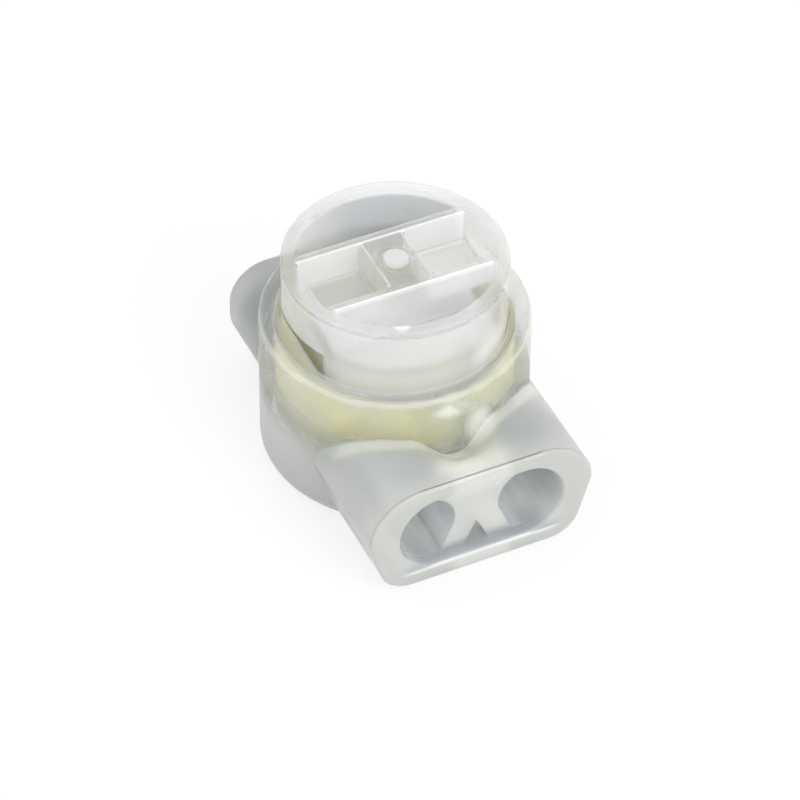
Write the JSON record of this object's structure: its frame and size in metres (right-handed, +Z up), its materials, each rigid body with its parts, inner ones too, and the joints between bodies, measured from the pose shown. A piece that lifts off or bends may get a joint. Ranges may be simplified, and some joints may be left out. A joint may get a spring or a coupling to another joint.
{
  "type": "wire connector",
  "caption": "Gel-filled press-cap butt connector that joins thin insulated wires without stripping, with a slotted contact carried down by its clear cap.",
  "frame": {"origin": "centre of the cup's round base, on the surface that it stands on", "axes": "+Z up along the cap's press, -Y out of the front face where the wires go in, +X to the right seen from the front"},
  "size_m": [0.009, 0.0126, 0.008],
  "materials": {
    "milky_plastic": "moulded, milky and translucent",
    "clear_plastic": "moulded, clear and glossy",
    "tinned_brass": "stamped and folded, tin plated",
    "gel": "soft, clear and yellowish"
  },
  "bodies": {
    "body": {"housing": "milky_plastic", "sealant": "gel"},
    "cap": {"press_cap": "clear_plastic", "contact": "tinned_brass"}
  },
  "joints": [
    {"name": "cap_press", "type": "slide", "parent": "body", "child": "cap", "axis": [0, 0, -1], "range_m": [0, 0.00237], "deforming": ["sealant"]}
  ]
}
